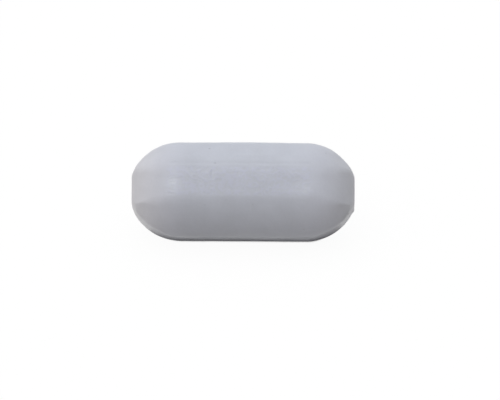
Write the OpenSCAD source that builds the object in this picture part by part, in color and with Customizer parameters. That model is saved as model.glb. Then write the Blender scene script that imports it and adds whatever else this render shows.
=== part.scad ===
// Magnetic stir bar: a cast rod magnet sealed inside one moulded octagonal jacket of PTFE.
// Millimetres. The bar lies along X on one of its eight flats. The origin is on the
// surface that it lies on, under the middle of the bar.

/* [Jacket] */
// Overall length, from end face to end face
bar_len = 22.225; // [16:0.025:40]
// Width across two opposite flats
across_flats = 9.525; // [7.5:0.025:12]
// Radius of the soft ridges between the flats
ridge_r = 2; // [0.5:0.1:3]

/* [Ends] */
// Length of each rounded end, from where the flats begin to turn in
end_len = 4.9; // [4.6:0.1:6.5]
// Width across the small square face that closes each end, before its edge is rounded
end_face_w = 3; // [2:0.1:4]
// Radius of the edge round that end face
end_edge_r = 0.5; // [0.1:0.05:0.8]

/* [Magnet] */
// Thickness of PTFE between the magnet and a flat
side_wall = 1.6; // [1:0.05:2.5]
// Thickness of PTFE between the magnet and an end face
end_wall = 3.2; // [2.5:0.05:5]
// Bevel on the magnet's two ends
magnet_bevel = 0.3; // [0.1:0.05:0.6]
// Clearance between the magnet and the PTFE moulded round it
magnet_gap = 0.02; // [0.01:0.01:0.1]

/* [Hidden] */

flats = 8;
turn = 360 / flats;                       // angle from one flat to the next
flat_dist = across_flats / 2;             // from the axis to a flat
flat_half_w = flat_dist * tan(turn / 2);  // half of a flat's width, ridge to ridge

// Each ring of the jacket's skin has this many points, a multiple of the number of flats
ring_pts = 6 * flats;
ring_step = 360 / ring_pts;

// A flat turns in over the end on an arc that leaves it at a tangent and reaches
// the end face's edge
end_drop = flat_dist - end_face_w / 2;
end_arc_r = (end_drop * end_drop + end_len * end_len) / (2 * end_drop);
end_arc_x = bar_len / 2 - end_len;

// The small edge arc rolls between that arc, from inside, and the end face
edge_x = bar_len / 2 - end_edge_r;
edge_off = edge_x - end_arc_x;
edge_reach = end_arc_r - end_edge_r;
edge_angle = asin(edge_off / edge_reach);
edge_dist = flat_dist - end_arc_r + edge_reach * cos(edge_angle);

arc_steps = 14;
edge_steps = 4;

// The profile [x, distance of a flat from the axis] from the tangent point to the end face
end_profile = [
    for (i = [0 : arc_steps])
        let (a = edge_angle * i / arc_steps)
        [end_arc_x + end_arc_r * sin(a), flat_dist - end_arc_r + end_arc_r * cos(a)],
    for (i = [1 : edge_steps])
        let (a = edge_angle + (90 - edge_angle) * i / edge_steps)
        [edge_x + end_edge_r * sin(a), edge_dist + end_edge_r * cos(a)]
];
last = len(end_profile) - 1;

// The whole profile, from the end at -X to the end at +X
profile = concat(
    [for (i = [last : -1 : 0]) [-end_profile[i][0], end_profile[i][1]]],
    end_profile
);
rings = len(profile);

// Corner of the core that the ridge radius is rolled round, for a skin that faces along a.
// Every second flat keeps its width over the end, and the flats between run out to points,
// so the core is an octagon along the bar and turns into a square near the end face.
function core_corner(dist, r, a) =
    let (
        nearest = turn + 2 * turn * round((a - turn) / (2 * turn)),
        side = sign(a - nearest),
        core_dist = dist - r,
        half_w = min(flat_half_w - r * tan(turn / 2), core_dist)
    )
    [
        core_dist * cos(nearest) - side * half_w * sin(nearest),
        core_dist * sin(nearest) + side * half_w * cos(nearest)
    ];

// One ring of the skin. Its points are spaced by the way the skin faces, and lie so
// that the chord across each flat is on the flat.
function ring(x, dist) =
    let (r = ridge_r * dist / flat_dist)
    [
        for (i = [0 : ring_pts - 1])
            let (
                a = (i + 0.5) * ring_step,
                corner = core_corner(dist, r, a),
                reach = r / cos(ring_step / 2)
            )
            [x, corner[0] + reach * cos(a), flat_dist + corner[1] + reach * sin(a)]
    ];

module skin() {
    points = [for (station = profile) each ring(station[0], station[1])];
    sides = [
        for (k = [0 : rings - 2], i = [0 : ring_pts - 1])
            let (
                near = k * ring_pts,
                far = near + ring_pts,
                next = (i + 1) % ring_pts
            )
            each [[near + i, near + next, far + i], [near + next, far + next, far + i]]
    ];
    first_end = [for (i = [ring_pts - 1 : -1 : 0]) i];
    last_end = [for (i = [0 : ring_pts - 1]) (rings - 1) * ring_pts + i];
    polyhedron(points, concat([first_end, last_end], sides), convexity = 4);
}

magnet_r = flat_dist - side_wall;
magnet_len = bar_len - 2 * end_wall;

// A rod along X, centred on the bar, with bevelled ends. Its size grows by gap all round.
module rod(gap) {
    r = magnet_r + gap;
    half = magnet_len / 2 + gap;
    translate([0, 0, flat_dist])
        rotate([0, 90, 0])
        rotate_extrude($fn = 96)
        polygon([
            [0, -half],
            [r - magnet_bevel, -half],
            [r, magnet_bevel - half],
            [r, half - magnet_bevel],
            [r - magnet_bevel, half],
            [0, half]
        ]);
}

module ptfe_jacket() {
    color("#d6d9e0")
    difference() {
        skin();
        rod(magnet_gap);
    }
}

module bar_magnet() {
    color("#6b6a68")
    rod(0);
}

ptfe_jacket();
bar_magnet();
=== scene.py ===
import math

import bpy
import numpy as np
from mathutils import Matrix, Vector


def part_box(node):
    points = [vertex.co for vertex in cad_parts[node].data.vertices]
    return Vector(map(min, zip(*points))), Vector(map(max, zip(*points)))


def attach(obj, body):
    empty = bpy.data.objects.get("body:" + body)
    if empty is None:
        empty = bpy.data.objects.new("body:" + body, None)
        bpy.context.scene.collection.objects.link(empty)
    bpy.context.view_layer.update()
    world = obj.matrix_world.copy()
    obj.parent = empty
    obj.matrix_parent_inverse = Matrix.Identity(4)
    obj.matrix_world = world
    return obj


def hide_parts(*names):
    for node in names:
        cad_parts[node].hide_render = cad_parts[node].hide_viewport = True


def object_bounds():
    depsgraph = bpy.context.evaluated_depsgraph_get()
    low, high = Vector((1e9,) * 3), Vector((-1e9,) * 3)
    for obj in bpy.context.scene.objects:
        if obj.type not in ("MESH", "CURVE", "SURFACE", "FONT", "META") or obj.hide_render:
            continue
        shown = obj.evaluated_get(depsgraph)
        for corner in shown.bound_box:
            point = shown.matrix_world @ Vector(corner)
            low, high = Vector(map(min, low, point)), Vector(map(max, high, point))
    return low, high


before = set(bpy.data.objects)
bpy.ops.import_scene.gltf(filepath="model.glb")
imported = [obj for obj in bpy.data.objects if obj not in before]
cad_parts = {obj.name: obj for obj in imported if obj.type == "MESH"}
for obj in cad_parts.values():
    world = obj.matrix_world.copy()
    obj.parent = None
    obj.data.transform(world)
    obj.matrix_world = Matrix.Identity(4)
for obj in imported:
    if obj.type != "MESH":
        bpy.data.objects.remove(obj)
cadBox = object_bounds()
mm = 0.001  # one millimetre in scene units
print("frame loaded:", ", ".join(sorted(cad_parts)))


def linearColour(hexText):
    # a hex colour is sRGB: each channel is turned to the linear light that shaders work in
    channels = [int(hexText[i:i + 2], 16) / 255 for i in (1, 3, 5)]
    linear = [c / 12.92 if c <= 0.04045 else ((c + 0.055) / 1.055) ** 2.4 for c in channels]
    return (*linear, 1.0)


def addNode(tree, kind, inputs=None, **settings):
    # a node with its settings, and each named input set to a value or linked from a socket
    node = tree.nodes.new(kind)
    for name, value in settings.items():
        setattr(node, name, value)
    for name, value in (inputs or {}).items():
        if isinstance(value, bpy.types.NodeSocket):
            tree.links.new(value, node.inputs[name])
        else:
            node.inputs[name].default_value = value
    return node


def newMaterial(name):
    # a material with an empty node tree, and that tree
    material = bpy.data.materials.new(name)
    material.use_nodes = True
    material.node_tree.nodes.clear()
    return material, material.node_tree


def meshPiece(name, points, faces, material, smooth=True, marks=None):
    # an object at the origin whose place is in its mesh; faces is a list of arrays of triangles or
    # quads, and marks holds named values, one for each point
    mesh = bpy.data.meshes.new(name)
    polygons = [tuple(row) for block in faces for row in block.tolist()]
    mesh.from_pydata(points.tolist(), [], polygons)
    mesh.polygons.foreach_set("use_smooth", np.full(len(polygons), smooth))
    mesh.update()
    for mark, values in (marks or {}).items():
        attribute = mesh.attributes.new(mark, "FLOAT", "POINT")
        attribute.data.foreach_set("value", values.astype(np.float32))
    mesh.materials.append(material)
    piece = bpy.data.objects.new(name, mesh)
    bpy.context.scene.collection.objects.link(piece)
    return piece


# The jacket is one moulded skin of PTFE, octagonal, with flats that wrap over its ends.
jacketLow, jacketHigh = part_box("ptfe_jacket")
magnetLow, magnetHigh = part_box("bar_magnet")
axisHeight = (jacketLow.z + jacketHigh.z) / 2 / mm

jacket = {
    "length": (jacketHigh.x - jacketLow.x) / mm,
    "acrossFlats": (jacketHigh.z - jacketLow.z) / mm,
    "endLength": 4.87,      # where the flats begin to turn in, from the end
    "endFaceWidth": 2.85,   # across the end face, before its edge is rounded
    "endEdgeRadius": 0.3,
    # the radius of each ridge, from the one behind the top flat round over the front: the
    # moulded ridges aren't all as sharp. Near the ends they come to the second list.
    "ridgeRadius": [1.7, 3.8, 2.6, 2.0, 1.8, 2.0, 2.0, 2.0],
    "ridgeRadiusEnd": [1.8, 1.8, 0.5, 2.0, 1.6, 1.6, 1.6, 1.6],
    "runOut": 3.0,          # a flat's distance from the axis where the second list holds
    "endNarrowing": 0.11,   # how much of its width a wrapping flat loses there
    # how much each flat bows outwards, as one over its radius, from the one behind the top flat
    # round over the front. The flat that the bar rests on is true.
    "bow": [0.03, 0.07, 0.04, 0.21, 0.03, 0.0, 0.03, 0.03],
    "leastBow": 1e-4,       # a flat that is true still counts as a very long arc
    "inset": [0.0, 0.0, 0.13, 0.0, 0.0, 0.0, 0.0, 0.0],  # how much nearer the axis each flat lies
    "restFade": 0.4,        # the flat that it rests on stays true: relief begins over this height
    "magnetBevel": 0.3,     # on the hollow round the magnet
    "magnetGap": 0.02,
    "hollowSides": 96,      # mesh steps round that hollow
    # Relief, all in millimetres. The whole skin swells and sinks a little, as sintered PTFE does.
    "swell": {"seed": 3, "count": 30, "shortest": 1.6, "longest": 5.0, "height": 0.012},
    # the upper front flat is crinkled between its two ridges
    "crinkle": {
        "seed": 12,
        "count": 90,
        "shortest": 0.28,
        "longest": 0.66,
        "height": 0.020,
        "fold": 0.7,            # how wide a crease is, as a height of the waves
        "run": (0.82, 0.40, 0.40),  # the way that most of the creases run
        "stretch": 1.7,         # how much longer the creases are that way
        "along": (-7.8, 7.05),  # where it lies along the bar, and in turns round it
        "turn": (1.52, 2.38),
        "fade": 0.5,            # how far in from its edges it comes to its full height
        "turnFade": 0.08,
        "bend": 0.12,           # how far the creases wander
        "bendSeeds": (41, 42, 43),
        "uneven": 0.6,          # how much of its height comes and goes
        "bends": {"seed": 24, "count": 12, "shortest": 1.2, "longest": 4.0},
    },
    # a fine groove, left by the edge of the mould, runs along the ridge above it
    "mouldLine": {"along": (-7.2, 6.4), "turn": 1.437, "depth": 0.034, "width": 0.18},
    # round dents and, below zero, bumps: where along the bar, the turn, the radius and the depth
    "dents": [
        (-2.79, 1.46, 0.14, 0.045),
        (2.11, 3.63, 0.40, 0.030),
        (6.05, 3.39, 0.16, 0.020),
        (-4.42, 3.11, 0.32, -0.010),
        (5.67, 3.00, 0.30, -0.010),
        (1.0, 0.5, 3.2, -0.05),
        (-9.95, 1.05, 0.9, 0.05),
        (10.0, 0.8, 1.3, 0.07),
        (11.0, 4.2, 0.6, -0.15),
        (10.65, 4.2, 0.35, 0.06),
    ],
    # scratches: along and turn at each end, the width and the depth
    "scratches": [
        (-3.07, 1.68, -3.10, 1.88, 0.12, 0.060),
        (0.92, 2.62, 0.84, 2.78, 0.08, 0.015),
        (8.22, 0.91, 8.60, 1.02, 0.08, 0.015),
        (8.02, 1.28, 8.50, 1.33, 0.08, 0.015),
    ],
    # whiter rubbed places, with a painted sheen on them: along, turn, half length, half width in
    # turns, and how white
    "rubbedSheen": [
        (-7.0, 2.05, 0.90, 0.34, 0.60),
        (6.0, 2.15, 1.30, 0.22, 0.38),
        (-4.8, 1.78, 0.90, 0.12, 0.30),
    ],
    "aroundSector": 46,     # mesh steps from the middle of one flat to the middle of the next
    "alongBody": 130,       # mesh steps along the straight part
    "alongEnd": 46,         # over each end's arc
    "alongEdge": 8,         # over the small edge arc
    "alongFace": 10,        # across the end face, to its middle
}


def jacketStations(size):
    # The profile of a flat: x along the bar, and the flat's distance from the axis. It is straight,
    # then an arc tangent to it, then a small arc into the end face, then the face itself.
    half = size["length"] / 2
    flatDist = size["acrossFlats"] / 2
    drop = flatDist - size["endFaceWidth"] / 2
    arcRadius = (drop ** 2 + size["endLength"] ** 2) / (2 * drop)
    arcX = half - size["endLength"]
    edgeRadius = size["endEdgeRadius"]
    edgeX = half - edgeRadius
    edgeAngle = math.asin((edgeX - arcX) / (arcRadius - edgeRadius))
    edgeDist = flatDist - arcRadius + (arcRadius - edgeRadius) * math.cos(edgeAngle)
    body = np.linspace(0, arcX, size["alongBody"] // 2 + 1)
    arc = np.linspace(0, edgeAngle, size["alongEnd"] + 1)[1:]
    edge = np.linspace(edgeAngle, math.pi / 2, size["alongEdge"] + 1)[1:]
    face = np.linspace(edgeDist, 0, size["alongFace"] + 1)[1:]
    x = np.concatenate([
        body,
        arcX + arcRadius * np.sin(arc),
        edgeX + edgeRadius * np.sin(edge),
        np.full(face.shape, half),
    ])
    dist = np.concatenate([
        np.full(body.shape, flatDist),
        flatDist - arcRadius + arcRadius * np.cos(arc),
        edgeDist + edgeRadius * np.cos(edge),
        face,
    ])
    return np.concatenate([-x[:0:-1], x]), np.concatenate([dist[:0:-1], dist])


def jacketRing(size, dist, turn):
    # A ring of the skin, where the even flats are at distance dist from the axis. turn runs from 0
    # to 8, and a whole number is the middle of a flat. Each flat is an arc of long radius, and each
    # ridge is an arc of short radius that touches the two flats beside it. From one flat's middle
    # to the next one's, the three arcs are stepped evenly by length. The even flats nearly keep
    # their width over the end, and the odd ones between them narrow until they run out. All is
    # worked out in the even flat's own axes, out and across, and then turned to its place.
    flatDist = size["acrossFlats"] / 2
    eighth = math.pi / 4
    sector = np.floor(turn).astype(int) % 8
    part = turn - np.floor(turn)
    side = np.where(sector % 2 == 0, 1.0, -1.0)
    step = np.where(side > 0, part, 1 - part)
    share = np.clip((dist - size["runOut"]) / (flatDist - size["runOut"]), 0, 1)
    share = share * share * (3 - 2 * share)
    odd = 2 * (sector // 2) + 1
    bow = np.maximum(np.asarray(size["bow"]), size["leastBow"])
    inset = np.asarray(size["inset"])
    oddRadius = 1 / (bow[odd] * share + size["leastBow"] * (1 - share))
    halfWidth = flatDist * math.tan(eighth / 2) * (1 - size["endNarrowing"] * (1 - share))

    def beside(ridge):
        # the ridge's radius, that of the even flat beside it, and how far out that arc's centre is
        radius = (np.asarray(size["ridgeRadius"])[ridge] * share
                  + np.asarray(size["ridgeRadiusEnd"])[ridge] * (1 - share)) * dist / flatDist
        evenRadius = 1 / (bow[2 * ((ridge + 1) // 2) % 8] * share + size["leastBow"] * (1 - share))
        return radius, evenRadius, dist - evenRadius

    # where the odd flat has run out, the wider of its two ridges reaches its middle: that ridge's
    # centre is then as far out as it is across
    oddDist = (dist + halfWidth) / math.sqrt(2)
    for ridge in (odd - 1, odd):
        radius, evenRadius, evenCentre = beside(ridge)
        alike = (evenCentre + np.sqrt(2 * (evenRadius - radius) ** 2 - evenCentre ** 2)) / 2
        oddDist = np.minimum(oddDist, alike * math.sqrt(2) + radius)
    oddDist = oddDist - inset[odd] * share
    radius, evenRadius, evenCentre = beside(sector)
    evenCentre = evenCentre - inset[2 * ((sector + 1) // 2) % 8] * share

    # the ridge's centre is a ridge radius nearer than each flat's arc to that arc's centre
    oddCentre = (oddDist - oddRadius) / math.sqrt(2)
    apartOut = oddCentre - evenCentre
    apart = np.hypot(apartOut, oddCentre)
    reach = (apart ** 2 + (evenRadius - radius) ** 2 - (oddRadius - radius) ** 2) / (2 * apart)
    aside = np.sqrt(np.maximum((evenRadius - radius) ** 2 - reach ** 2, 0))
    first = np.stack([
        reach * apartOut + aside * oddCentre,
        reach * oddCentre - aside * apartOut,
    ]) / apart
    second = np.stack([
        reach * apartOut - aside * oddCentre,
        reach * oddCentre + aside * apartOut,
    ]) / apart
    ridgeOut, ridgeAcross = np.where(first.sum(0) > second.sum(0), first, second)
    ridgeOut = ridgeOut + evenCentre
    startAngle = np.arctan2(ridgeAcross, ridgeOut - evenCentre)
    endAngle = np.arctan2(ridgeAcross - oddCentre, ridgeOut - oddCentre)
    endAngle = np.clip(endAngle, startAngle, eighth)

    evenLength = evenRadius * startAngle
    ridgeLength = radius * (endAngle - startAngle)
    run = step * (evenLength + ridgeLength + oddRadius * (eighth - endAngle))
    onEven = run < evenLength
    onOdd = run > evenLength + ridgeLength
    angle = np.where(onEven, run / evenRadius, np.where(
        onOdd, endAngle + (run - evenLength - ridgeLength) / oddRadius,
        startAngle + (run - evenLength) / np.maximum(radius, 1e-9)))
    around = np.where(onEven, evenRadius, np.where(onOdd, oddRadius, radius))
    centreOut = np.where(onEven, evenCentre, np.where(onOdd, oddCentre, ridgeOut))
    centreAcross = np.where(onEven, 0, np.where(onOdd, oddCentre, ridgeAcross))
    out = centreOut + around * np.cos(angle)
    across = centreAcross + around * np.sin(angle)
    flatAngle = eighth + 2 * eighth * ((sector + 1) // 2)
    y = out * np.cos(flatAngle) - side * across * np.sin(flatAngle)
    z = out * np.sin(flatAngle) + side * across * np.cos(flatAngle)
    return y, z


def gridFaces(rows, columns):
    # quads between neighbouring rings, the last column joined to the first
    index = np.arange(rows * columns).reshape(rows, columns)
    near, far = index[:-1], index[1:]
    return np.stack([near, np.roll(near, -1, 1), np.roll(far, -1, 1), far], axis=-1).reshape(-1, 4)


def endFan(ring, tip, forward):
    # triangles from one ring to a point
    nextOne = np.roll(ring, -1)
    order = [ring, nextOne] if forward else [nextOne, ring]
    return np.stack([*order, np.full(ring.shape, tip)], axis=-1)


def onSkin(size, along, turn):
    # the skin's point at a place along the bar and a turn round it
    stations, dist = jacketStations(size)
    here = np.interp(along, stations[1:-1], dist[1:-1])
    y, z = jacketRing(size, np.array([here]), np.array([turn]))
    return np.array([along, y[0], z[0] + axisHeight])


def outwardNormals(skin):
    # the cross product of the step round the ring and the step along the bar
    normal = np.cross(np.roll(skin, -1, 1) - np.roll(skin, 1, 1), np.gradient(skin, axis=0))
    return normal / np.linalg.norm(normal, axis=-1, keepdims=True)


def waves(points, size):
    # plane waves of random way, phase and length, summed to a smooth random height, mostly -2 to 2
    rng = np.random.default_rng(size["seed"])
    length = rng.uniform(size["shortest"], size["longest"], size["count"])
    way = rng.normal(size=(size["count"], 3))
    way *= (2 * math.pi / length / np.linalg.norm(way, axis=1))[:, None]
    phase = rng.uniform(0, 2 * math.pi, size["count"])
    return np.cos(points @ way.T + phase).sum(-1) * math.sqrt(2 / size["count"])


def window(value, limits, fade):
    # 1 between the limits and 0 outside them, with a smoothstep of width fade inside each
    near = np.clip(np.minimum(value - limits[0], limits[1] - value) / fade, 0, 1)
    return near * near * (3 - 2 * near)


def fromSegment(points, start, end):
    # each point's distance from a straight line between two points
    line = end - start
    part = np.clip((points - start) @ line / (line @ line), 0, 1)
    return np.linalg.norm(points - start - part[..., None] * line, axis=-1)


def jacketRelief(size, skin, turn):
    # how far the skin sinks below its plain form, which is the sum of the swell, the crinkle, and a
    # bell curve of the distance to each dent, scratch and groove. Then how creased and how rubbed
    # it is, from 0 to 1: masks for a painted highlight on the crease crests, and for wear with a
    # painted sheen.
    along = skin[..., 0]
    swell = size["swell"]
    sunk = swell["height"] * (1 + np.clip(waves(skin, swell) / 2, -1, 1))
    crinkle = size["crinkle"]
    patch = (window(along, crinkle["along"], crinkle["fade"])
             * window(turn, crinkle["turn"], crinkle["turnFade"]))
    bent = skin + crinkle["bend"] * np.stack([waves(skin, {**crinkle["bends"], "seed": seed})
                                              for seed in crinkle["bendSeeds"]], axis=-1)
    # rounded creases where the waves cross zero, longer along the way that most of them run
    run = np.array(crinkle["run"]) / np.linalg.norm(crinkle["run"])
    bent = bent - (1 - 1 / crinkle["stretch"]) * (bent @ run)[..., None] * run
    folds = np.exp(-(waves(bent, crinkle) / crinkle["fold"]) ** 2)
    uneven = 1 + crinkle["uneven"] * np.clip(waves(skin, crinkle["bends"]), -1, 1)
    sunk = sunk + crinkle["height"] * uneven * patch * (1 - folds)
    for dentAlong, dentTurn, radius, depth in size["dents"]:
        away = np.linalg.norm(skin - onSkin(size, dentAlong, dentTurn), axis=-1)
        sunk = sunk + depth * np.exp(-(away / radius) ** 2)
    for along0, turn0, along1, turn1, width, depth in size["scratches"]:
        away = fromSegment(skin, onSkin(size, along0, turn0), onSkin(size, along1, turn1))
        sunk = sunk + depth * np.exp(-(away / width) ** 2)
    line = size["mouldLine"]
    away = fromSegment(skin, onSkin(size, line["along"][0], line["turn"]),
                       onSkin(size, line["along"][1], line["turn"]))
    sunk = sunk + line["depth"] * np.exp(-(away / line["width"]) ** 2)
    above = np.clip(skin[..., 2] / size["restFade"], 0, 1)
    sunk = sunk * above * above * (3 - 2 * above)
    rubbedSheen = np.zeros(along.shape)
    for rubAlong, rubTurn, halfLength, halfWidth, share in size["rubbedSheen"]:
        away = ((along - rubAlong) / halfLength) ** 2 + ((turn - rubTurn) / halfWidth) ** 2
        rubbedSheen = np.maximum(rubbedSheen, share * np.exp(-away))
    return sunk, patch * folds, rubbedSheen


def hollowWall(size):
    # the hollow that the magnet lies in: a bevelled rod turned about the bar's axis, facing inwards
    half = (magnetHigh.x - magnetLow.x) / 2 / mm + size["magnetGap"]
    radius = (magnetHigh.z - magnetLow.z) / 2 / mm + size["magnetGap"]
    bevel = size["magnetBevel"]
    x = np.array([-half, -half + bevel, half - bevel, half])
    reach = np.array([radius - bevel, radius, radius, radius - bevel])
    angle = np.arange(size["hollowSides"]) * 2 * math.pi / size["hollowSides"]
    wall = np.stack([
        np.broadcast_to(x[:, None], (x.size, angle.size)),
        reach[:, None] * np.cos(angle),
        reach[:, None] * np.sin(angle) + axisHeight,
    ], axis=-1)
    return wall, np.array([[-half, 0, axisHeight], [half, 0, axisHeight]])


def closedTube(rings, tips, first, inwards):
    # the points and faces of rings joined in order and closed at both ends by a tip
    rows, columns = rings.shape[:2]
    points = np.concatenate([rings.reshape(-1, 3), tips])
    firstRing = np.arange(columns)
    lastRing = firstRing + (rows - 1) * columns
    faces = [gridFaces(rows, columns), endFan(firstRing, rows * columns, False),
             endFan(lastRing, rows * columns + 1, True)]
    return points, [(block[:, ::-1] if inwards else block) + first for block in faces]


def makeJacket(size, material):
    # a ring of the skin at each station, pushed inwards by the relief and kept inside the plain
    # form's box, and the wall of the hollow inside it
    stations, dist = jacketStations(size)
    turn = np.arange(8 * size["aroundSector"]) / size["aroundSector"]
    inner = slice(1, -1)  # the first and last stations are the end faces' middles
    y, z = jacketRing(size, dist[inner, None], turn[None, :])
    skin = np.stack([np.broadcast_to(stations[inner, None], y.shape), y, z + axisHeight], axis=-1)
    sunk, crinkled, rubbedSheen = jacketRelief(size, skin, np.broadcast_to(turn, y.shape))
    skin = skin - sunk[..., None] * outwardNormals(skin)
    skin = np.clip(skin, np.array(jacketLow) / mm, np.array(jacketHigh) / mm)
    tips = np.array([[skin[0, :, 0].mean(), 0, axisHeight], [skin[-1, :, 0].mean(), 0, axisHeight]])
    points, faces = closedTube(skin, tips, 0, False)
    wall, wallTips = hollowWall(size)
    wallPoints, wallFaces = closedTube(wall, wallTips, len(points), True)
    allPoints = np.concatenate([points, wallPoints]) * mm
    rest = np.zeros(len(allPoints) - crinkled.size)
    return meshPiece("jacket_skin", allPoints, faces + wallFaces, material, marks={
        "crinkled": np.concatenate([crinkled.ravel(), rest]),
        "rubbedSheen": np.concatenate([rubbedSheen.ravel(), rest]),
    })


ptfe = {
    # over the dark magnet the translucent wall looks cooler and darker than the solid ends: the
    # colour there, and each next colour with where it begins and is reached, from the bar's middle
    "overMagnet": "#c6cad5",
    "towardsEnds": [("#cacdd8", 4.5, 8.5), ("#cccdd4", 6.8, 11.5)],
    "rubbedSheen": "#dadfe9",   # whiter where it has been rubbed, and a painted sheen there
    "rubSize": 0.9,        # millimetres across the breaks in a rubbed place
    "rubBreaks": (0.35, 0.6),  # the noise values between which it is broken and whole
    "rubLeast": 0.35,      # how much of it is left where it is broken
    "creaseHighlight": "#cdd0e6",  # a painted highlight along the crests of the crinkled flat's creases
    "creaseHighlightShare": 0.35,
    "noiseSpan": (0.25, 0.75),  # where nearly all values of a noise lie
    "cloudSize": 2.2,      # millimetres across a cloud in the sintered powder
    "cloudDepth": 0.035,
    "grainSize": 0.25,     # powder grains are finer, and are drawn this coarse to show
    "grainDepth": 0.015,
    "grainHeight": 0.002,
    "ior": 1.35,
    "roughness": 0.36,
    "roughnessSwing": 0.12,
    "translucency": 0.35,
    "reach": 1.2,          # millimetres that light travels inside
    "speckColour": "#8d8f9c",
    # specks of dirt pressed into the skin: along the bar, the turn, the radius and how dark
    "specks": [
        (-3.36, 0.85, 0.11, 0.40),
        (-3.75, 2.61, 0.09, 0.16),
        (0.96, 2.59, 0.09, 0.16),
        (-2.79, 1.44, 0.10, 0.40),
        (8.20, 0.93, 0.08, 0.30),
        (6.05, 3.40, 0.09, 0.20),
    ],
    "speckEdge": (1.5, 0.3),  # where a speck begins and is reached, in its radii
}


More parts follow.
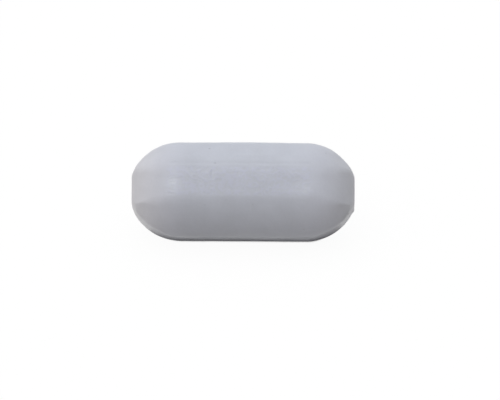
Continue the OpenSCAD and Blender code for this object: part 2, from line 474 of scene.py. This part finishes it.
def ptfeMaterial(finish, size):
    # PTFE, pressed from powder and sintered: waxy, translucent and satin, with no grain direction.
    # A colour mix takes its share at input 0 and its colours at 6 and 7, and gives output 2.
    material, tree = newMaterial("ptfe_pressed_sintered")
    place = addNode(tree, "ShaderNodeTexCoord").outputs["Object"]
    inMm = addNode(tree, "ShaderNodeVectorMath", {
        0: place,
        "Scale": 1 / mm,
    }, operation="SCALE").outputs[0]
    apart = addNode(tree, "ShaderNodeSeparateXYZ", {0: inMm})
    along = addNode(tree, "ShaderNodeMath", {0: apart.outputs["X"]}, operation="ABSOLUTE")
    colour = linearColour(finish["overMagnet"])
    for nextColour, begins, reached in finish["towardsEnds"]:
        share = addNode(tree, "ShaderNodeMapRange", {
            "Value": along.outputs[0],
            "From Min": begins,
            "From Max": reached,
        }, interpolation_type="SMOOTHSTEP")
        colour = addNode(tree, "ShaderNodeMix", {
            0: share.outputs["Result"],
            6: colour,
            7: linearColour(nextColour),
        }, data_type="RGBA").outputs[2]

    # clouds and grains make it a little lighter and darker
    clouds = addNode(tree, "ShaderNodeTexNoise", {
        "Vector": inMm,
        "Scale": 1 / finish["cloudSize"],
        "Detail": 3.0,
    })
    cloudTone = addNode(tree, "ShaderNodeMapRange", {
        "Value": clouds.outputs[0],
        "From Min": finish["noiseSpan"][0],
        "From Max": finish["noiseSpan"][1],
        "To Min": 1 - finish["cloudDepth"],
        "To Max": 1 + finish["cloudDepth"],
    })
    grain = addNode(tree, "ShaderNodeTexNoise", {
        "Vector": inMm,
        "Scale": 1 / finish["grainSize"],
        "Detail": 2.0,
    })
    grainTone = addNode(tree, "ShaderNodeMapRange", {
        "Value": grain.outputs[0],
        "From Min": finish["noiseSpan"][0],
        "From Max": finish["noiseSpan"][1],
        "To Min": 1 - finish["grainDepth"],
        "To Max": 1 + finish["grainDepth"],
    })
    tone = addNode(tree, "ShaderNodeMath", {
        0: cloudTone.outputs["Result"],
        1: grainTone.outputs["Result"],
    }, operation="MULTIPLY")
    toned = addNode(tree, "ShaderNodeVectorMath", {
        0: colour,
        "Scale": tone.outputs[0],
    }, operation="SCALE")

    # paler along the crests of the creases, a painted highlight, and whiter where it is rubbed,
    # partly a painted sheen, in a broken pattern
    creases = addNode(tree, "ShaderNodeAttribute", attribute_name="crinkled")
    # painted highlight: the crease crests get a paler, bluer colour that stands in for the light
    # they catch
    creaseHighlightShare = addNode(tree, "ShaderNodeMath", {
        0: creases.outputs["Fac"],
        1: finish["creaseHighlightShare"],
    }, operation="MULTIPLY")
    # painted sheen: the rubbed places are whiter, partly from wear and partly standing in for the
    # sheen they show
    rubbedSheenMask = addNode(tree, "ShaderNodeAttribute", attribute_name="rubbedSheen")
    broken = addNode(tree, "ShaderNodeTexNoise", {
        "Vector": inMm,
        "Scale": 1 / finish["rubSize"],
        "Detail": 2.0,
    })
    brokenShare = addNode(tree, "ShaderNodeMapRange", {
        "Value": broken.outputs[0],
        "From Min": finish["rubBreaks"][0],
        "From Max": finish["rubBreaks"][1],
        "To Min": finish["rubLeast"],
    })
    rubbedSheenShare = addNode(tree, "ShaderNodeMath", {
        0: rubbedSheenMask.outputs["Fac"],
        1: brokenShare.outputs["Result"],
    }, operation="MULTIPLY")
    # the painted crease highlight is mixed in here
    creaseHighlight = addNode(tree, "ShaderNodeMix", {
        0: creaseHighlightShare.outputs[0],
        6: toned.outputs[0],
        7: linearColour(finish["creaseHighlight"]),
    }, data_type="RGBA")
    paled = addNode(tree, "ShaderNodeMix", {
        0: rubbedSheenShare.outputs[0],
        6: creaseHighlight.outputs[2],
        7: linearColour(finish["rubbedSheen"]),
    }, data_type="RGBA")

    # specks of dirt, each a soft spot round its own place on the skin
    dirt = 0.0
    for speckAlong, speckTurn, radius, share in finish["specks"]:
        away = addNode(tree, "ShaderNodeVectorMath", {
            0: inMm,
            1: onSkin(size, speckAlong, speckTurn),
        }, operation="DISTANCE")
        spot = addNode(tree, "ShaderNodeMapRange", {
            "Value": away.outputs["Value"],
            "From Min": radius * finish["speckEdge"][0],
            "From Max": radius * finish["speckEdge"][1],
            "To Max": share,
        }, interpolation_type="SMOOTHSTEP")
        darkest = addNode(tree, "ShaderNodeMath", {
            0: spot.outputs["Result"],
            1: dirt,
        }, operation="MAXIMUM")
        dirt = darkest.outputs[0]
    dirtied = addNode(tree, "ShaderNodeMix", {
        0: dirt,
        6: paled.outputs[2],
        7: linearColour(finish["speckColour"]),
    }, data_type="RGBA")

    roughness = addNode(tree, "ShaderNodeMapRange", {
        "Value": clouds.outputs[0],
        "From Min": finish["noiseSpan"][0],
        "From Max": finish["noiseSpan"][1],
        "To Min": finish["roughness"] - finish["roughnessSwing"] / 2,
        "To Max": finish["roughness"] + finish["roughnessSwing"] / 2,
    })
    bump = addNode(tree, "ShaderNodeBump", {
        "Height": grain.outputs[0],
        "Distance": finish["grainHeight"] * mm,
    })
    shader = addNode(tree, "ShaderNodeBsdfPrincipled", {
        "Base Color": dirtied.outputs[2],
        "Roughness": roughness.outputs["Result"],
        "Normal": bump.outputs["Normal"],
        "IOR": finish["ior"],
        "Subsurface Weight": finish["translucency"],
        "Subsurface Radius": (1, 1, 1),
        "Subsurface Scale": finish["reach"] * mm,
    })
    addNode(tree, "ShaderNodeOutputMaterial", {"Surface": shader.outputs["BSDF"]})
    return material


alnico = {
    "base": "#7b7974",
    "grains": "#6a6863",     # the darker coarse grains of the casting
    "grainSize": 0.8,        # millimetres across a grain
    "lineSpacing": 0.06,     # between the lines that grinding leaves round the rod
    "lineLength": 2.5,       # how long a line runs, along its way
    "lineHeight": 0.003,
    "roughness": (0.38, 0.56),
}


def alnicoMaterial(finish):
    # Alnico, cast with coarse grains, then ground round and round: a dull grey metal with fine
    # lines that run round the rod. They are noise squeezed along the bar and drawn out across it.
    material, tree = newMaterial("alnico_cast_ground")
    place = addNode(tree, "ShaderNodeTexCoord").outputs["Object"]
    inMm = addNode(tree, "ShaderNodeVectorMath", {
        0: place,
        "Scale": 1 / mm,
    }, operation="SCALE").outputs[0]
    grains = addNode(tree, "ShaderNodeTexVoronoi", {
        "Vector": inMm,
        "Scale": 1 / finish["grainSize"],
    })
    grainShare = addNode(tree, "ShaderNodeSeparateColor", {0: grains.outputs["Color"]})
    colour = addNode(tree, "ShaderNodeMix", {
        0: grainShare.outputs[0],
        6: linearColour(finish["base"]),
        7: linearColour(finish["grains"]),
    }, data_type="RGBA")
    drawn = addNode(tree, "ShaderNodeVectorMath", {
        0: inMm,
        1: (1 / finish["lineSpacing"], 1 / finish["lineLength"], 1 / finish["lineLength"]),
    }, operation="MULTIPLY")
    lines = addNode(tree, "ShaderNodeTexNoise", {
        "Vector": drawn.outputs[0],
        "Scale": 1.0,
        "Detail": 2.0,
    })
    roughness = addNode(tree, "ShaderNodeMapRange", {
        "Value": lines.outputs[0],
        "To Min": finish["roughness"][0],
        "To Max": finish["roughness"][1],
    })
    bump = addNode(tree, "ShaderNodeBump", {
        "Height": lines.outputs[0],
        "Distance": finish["lineHeight"] * mm,
    })
    shader = addNode(tree, "ShaderNodeBsdfPrincipled", {
        "Base Color": colour.outputs[2],
        "Metallic": 1.0,
        "Roughness": roughness.outputs["Result"],
        "Normal": bump.outputs["Normal"],
    })
    addNode(tree, "ShaderNodeOutputMaterial", {"Surface": shader.outputs["BSDF"]})
    return material


jacketSkin = makeJacket(jacket, ptfeMaterial(ptfe, jacket))
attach(jacketSkin, "root")
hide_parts("ptfe_jacket")
print("jacket:", len(jacketSkin.data.polygons), "faces")

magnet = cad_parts["bar_magnet"]
magnetMetal = alnicoMaterial(alnico)
for slot in magnet.material_slots:
    slot.material = magnetMetal
print("magnet: finish set")


floor = {
    "halfSize": 0.6,      # metres
    "seen": "#434343",    # the part of its white that the bar's soft shadow darkens, to the camera
    "glow": 0.95,         # the rest of its white, an even glow; a painted contact shadow takes it away only in the gap right under the bar
    "gapReach": 0.45,     # how far, in millimetres, the bar's cover counts for that
    "gapOpen": (0.10, 0.27),  # how open the card is where the painted gap shadow is darkest, and where it ends
    "coverReach": 6.0,    # how far, in millimetres, the bar's cover counts for the rest
    "coverSamples": 16,
    "openWay": (-0.45, 0.0, 1.0),  # where most of its light comes from: above, and the window
    # where it is seen mirrored in the bar, a painted shadow makes it dark under the bar, and it is
    # white further out
    "mirroredDark": (2.26, 3.05),  # how far, in millimetres, from a line under the bar's axis
    "mirroredLine": (-7.1, 7.7),   # where that line begins and ends
    "mirroredGlow": 1.0,           # how strongly it glows further out
    "bounce": "#b1afad",  # what it throws back on the bar
    "bounceOpen": (0.05, 0.34),  # how open it is where it throws back nothing, and where all: a painted shade under and beside the bar
}


def seenRays(tree, rays):
    # 1 for what the camera sees, straight or by way of gloss and glass, and 0 for all other light
    mirrored = addNode(tree, "ShaderNodeMath", {
        0: rays.outputs["Is Glossy Ray"],
        1: rays.outputs["Is Transmission Ray"],
    }, operation="MAXIMUM")
    seen = addNode(tree, "ShaderNodeMath", {
        0: rays.outputs["Is Camera Ray"],
        1: mirrored.outputs[0],
    }, operation="MAXIMUM")
    return seen.outputs[0]


def floorMaterial(colours):
    # White card, matt. To the camera it glows white, but for a painted contact shadow in the gap
    # under the bar. Mirrored in the bar it shows a painted shadow near a line under the bar's axis.
    # Otherwise it throws light back, with a painted shade that dims it the more the bar covers it.
    material, tree = newMaterial("card_white_matt")
    rays = addNode(tree, "ShaderNodeLightPath")
    seen = seenRays(tree, rays)
    reach = addNode(tree, "ShaderNodeMapRange", {
        "Value": rays.outputs["Is Camera Ray"],
        "To Min": colours["coverReach"] * mm,
        "To Max": colours["gapReach"] * mm,
    })
    openWay = addNode(tree, "ShaderNodeVectorMath", {0: colours["openWay"]}, operation="NORMALIZE")
    openness = addNode(tree, "ShaderNodeAmbientOcclusion", {
        "Distance": reach.outputs["Result"],
        "Normal": openWay.outputs[0],
    }, samples=colours["coverSamples"])
    # painted shade: the light it throws back is dimmed where the bar covers it
    bounceShare = addNode(tree, "ShaderNodeMapRange", {
        "Value": openness.outputs["AO"],
        "From Min": colours["bounceOpen"][0],
        "From Max": colours["bounceOpen"][1],
    }, interpolation_type="SMOOTHSTEP")
    bounce = addNode(tree, "ShaderNodeVectorMath", {
        0: linearColour(colours["bounce"])[:3],
        "Scale": bounceShare.outputs["Result"],
    }, operation="SCALE")
    bounced = addNode(tree, "ShaderNodeBsdfDiffuse", {"Color": bounce.outputs[0]})
    shown = addNode(tree, "ShaderNodeBsdfDiffuse", {"Color": linearColour(colours["seen"])})
    # painted contact shadow: the camera's glow fades where the gap under the bar closes in
    seenGlow = addNode(tree, "ShaderNodeMapRange", {
        "Value": openness.outputs["AO"],
        "From Min": colours["gapOpen"][0],
        "From Max": colours["gapOpen"][1],
        "To Max": colours["glow"],
    }, interpolation_type="SMOOTHSTEP")
    place = addNode(tree, "ShaderNodeNewGeometry").outputs["Position"]
    inMm = addNode(tree, "ShaderNodeVectorMath", {
        0: place,
        "Scale": 1 / mm,
    }, operation="SCALE").outputs[0]
    apart = addNode(tree, "ShaderNodeSeparateXYZ", {0: inMm})
    nearest = addNode(tree, "ShaderNodeClamp", {
        "Value": apart.outputs["X"],
        "Min": colours["mirroredLine"][0],
        "Max": colours["mirroredLine"][1],
    })
    past = addNode(tree, "ShaderNodeMath", {
        0: apart.outputs["X"],
        1: nearest.outputs[0],
    }, operation="SUBTRACT")
    offset = addNode(tree, "ShaderNodeCombineXYZ", {
        "X": past.outputs[0],
        "Y": apart.outputs["Y"],
    })
    away = addNode(tree, "ShaderNodeVectorMath", {0: offset.outputs[0]}, operation="LENGTH")
    # painted shadow, as seen mirrored in the bar: dark near a line under the bar's axis
    mirroredGlow = addNode(tree, "ShaderNodeMapRange", {
        "Value": away.outputs["Value"],
        "From Min": colours["mirroredDark"][0],
        "From Max": colours["mirroredDark"][1],
        "To Max": colours["mirroredGlow"],
    }, interpolation_type="SMOOTHSTEP")
    glow = addNode(tree, "ShaderNodeMix", {
        0: rays.outputs["Is Camera Ray"],
        2: mirroredGlow.outputs["Result"],
        3: seenGlow.outputs["Result"],
    }, data_type="FLOAT")
    lift = addNode(tree, "ShaderNodeEmission", {
        "Color": (1, 1, 1, 1),
        "Strength": glow.outputs[0],
    })
    lifted = addNode(tree, "ShaderNodeAddShader", {0: shown.outputs[0], 1: lift.outputs[0]})
    choice = addNode(tree, "ShaderNodeMixShader", {
        0: seen,
        1: bounced.outputs[0],
        2: lifted.outputs[0],
    })
    addNode(tree, "ShaderNodeOutputMaterial", {"Surface": choice.outputs[0]})
    return material


def makeFloor(size):
    half = size["halfSize"]
    corners = np.array([[-half, -half, 0], [half, -half, 0], [half, half, 0], [-half, half, 0]])
    square = [np.array([[0, 1, 2, 3]])]
    return meshPiece("floor", corners, square, floorMaterial(size), smooth=False)


makeFloor(floor)
print("floor: set")


# A soft white room: a wide light overhead, a wide window to the left, a faint one behind the bar,
# and a little light from all round.
lights = {
    "fromAllRound": ("#fffcf8", 0.10),
    # each one's colour, its strength and the way to it
    "wide": [
        ("#fbfdff", 1.385, (0, 0.13, 1)),
        ("#fff7ee", 1.045, (-1, -0.51, 0.09)),
        ("#ffffff", 0.06, (0, 1, 0.2)),
    ],
}


def makeLights(setting):
    # each wide light is strongest along its own way and falls with the square of the cosine
    world = bpy.data.worlds.new("soft_room")
    world.use_nodes = True
    tree = world.node_tree
    tree.nodes.clear()
    look = addNode(tree, "ShaderNodeTexCoord").outputs["Generated"]
    tint, power = setting["fromAllRound"]
    total = Vector(linearColour(tint)[:3]) * power
    for tint, power, way in setting["wide"]:
        toward = addNode(tree, "ShaderNodeVectorMath", {
            0: look,
            1: Vector(way).normalized(),
        }, operation="DOT_PRODUCT")
        facing = addNode(tree, "ShaderNodeMath", {
            0: toward.outputs["Value"],
            1: 0.0,
        }, operation="MAXIMUM")
        squared = addNode(tree, "ShaderNodeMath", {
            0: facing.outputs[0],
            1: 2.0,
        }, operation="POWER")
        coloured = addNode(tree, "ShaderNodeVectorMath", {
            0: Vector(linearColour(tint)[:3]) * power,
            "Scale": squared.outputs[0],
        }, operation="SCALE")
        total = addNode(tree, "ShaderNodeVectorMath", {
            0: coloured.outputs[0],
            1: total,
        }, operation="ADD").outputs[0]
    room = addNode(tree, "ShaderNodeBackground", {"Color": total})
    white = addNode(tree, "ShaderNodeBackground", {"Color": (1, 1, 1, 1), "Strength": 1.0})
    choice = addNode(tree, "ShaderNodeMixShader", {
        0: seenRays(tree, addNode(tree, "ShaderNodeLightPath")),
        1: room.outputs[0],
        2: white.outputs[0],
    })
    addNode(tree, "ShaderNodeOutputWorld", {"Surface": choice.outputs[0]})
    bpy.context.scene.world = world


makeLights(lights)
print("light: set")


view = {
    "elevation": 33.4,    # above level, in degrees
    "distance": 400,      # from the bar's middle, in millimetres
    "frameWidth": 49.95,  # what the frame's width spans at the bar's middle
    "imageWidth": 500,
    "imageHeight": 400,
    "barMiddle": (243.05, 192.0),  # where the bar's middle falls in the image
    "roll": 0.37,         # clockwise, in degrees
    "sensor": 36,         # its width, in millimetres
}


def makeCamera(setting):
    # it faces the bar from the front, tilted down, and is slid sideways and up or down until the
    # bar's middle falls in its place
    data = bpy.data.cameras.new("camera")
    data.sensor_fit = "HORIZONTAL"
    data.sensor_width = setting["sensor"]
    data.lens = setting["sensor"] * setting["distance"] / setting["frameWidth"]
    data.clip_start = 0.01  # metres
    data.clip_end = 5
    tilt = math.radians(setting["elevation"])
    back = Vector((0, -math.cos(tilt), math.sin(tilt)))
    up = Vector((0, math.sin(tilt), math.cos(tilt)))
    right = Vector((1, 0, 0))
    perPixel = setting["frameWidth"] / setting["imageWidth"] * mm
    middleX, middleY = setting["barMiddle"]
    aside = (setting["imageWidth"] / 2 - middleX) * perPixel
    above = (middleY - setting["imageHeight"] / 2) * perPixel
    centre = (cadBox[0] + cadBox[1]) / 2
    camera = bpy.data.objects.new("camera", data)
    camera.location = centre + back * setting["distance"] * mm + right * aside + up * above
    camera.rotation_mode = "QUATERNION"
    straight = Matrix((right, up, back)).transposed()
    roll = Matrix.Rotation(math.radians(setting["roll"]), 3, back)
    camera.rotation_quaternion = (roll @ straight).to_quaternion()
    bpy.context.scene.collection.objects.link(camera)
    bpy.context.scene.camera = camera


makeCamera(view)
bpy.context.scene.view_settings.view_transform = "Standard"
print("camera: set")
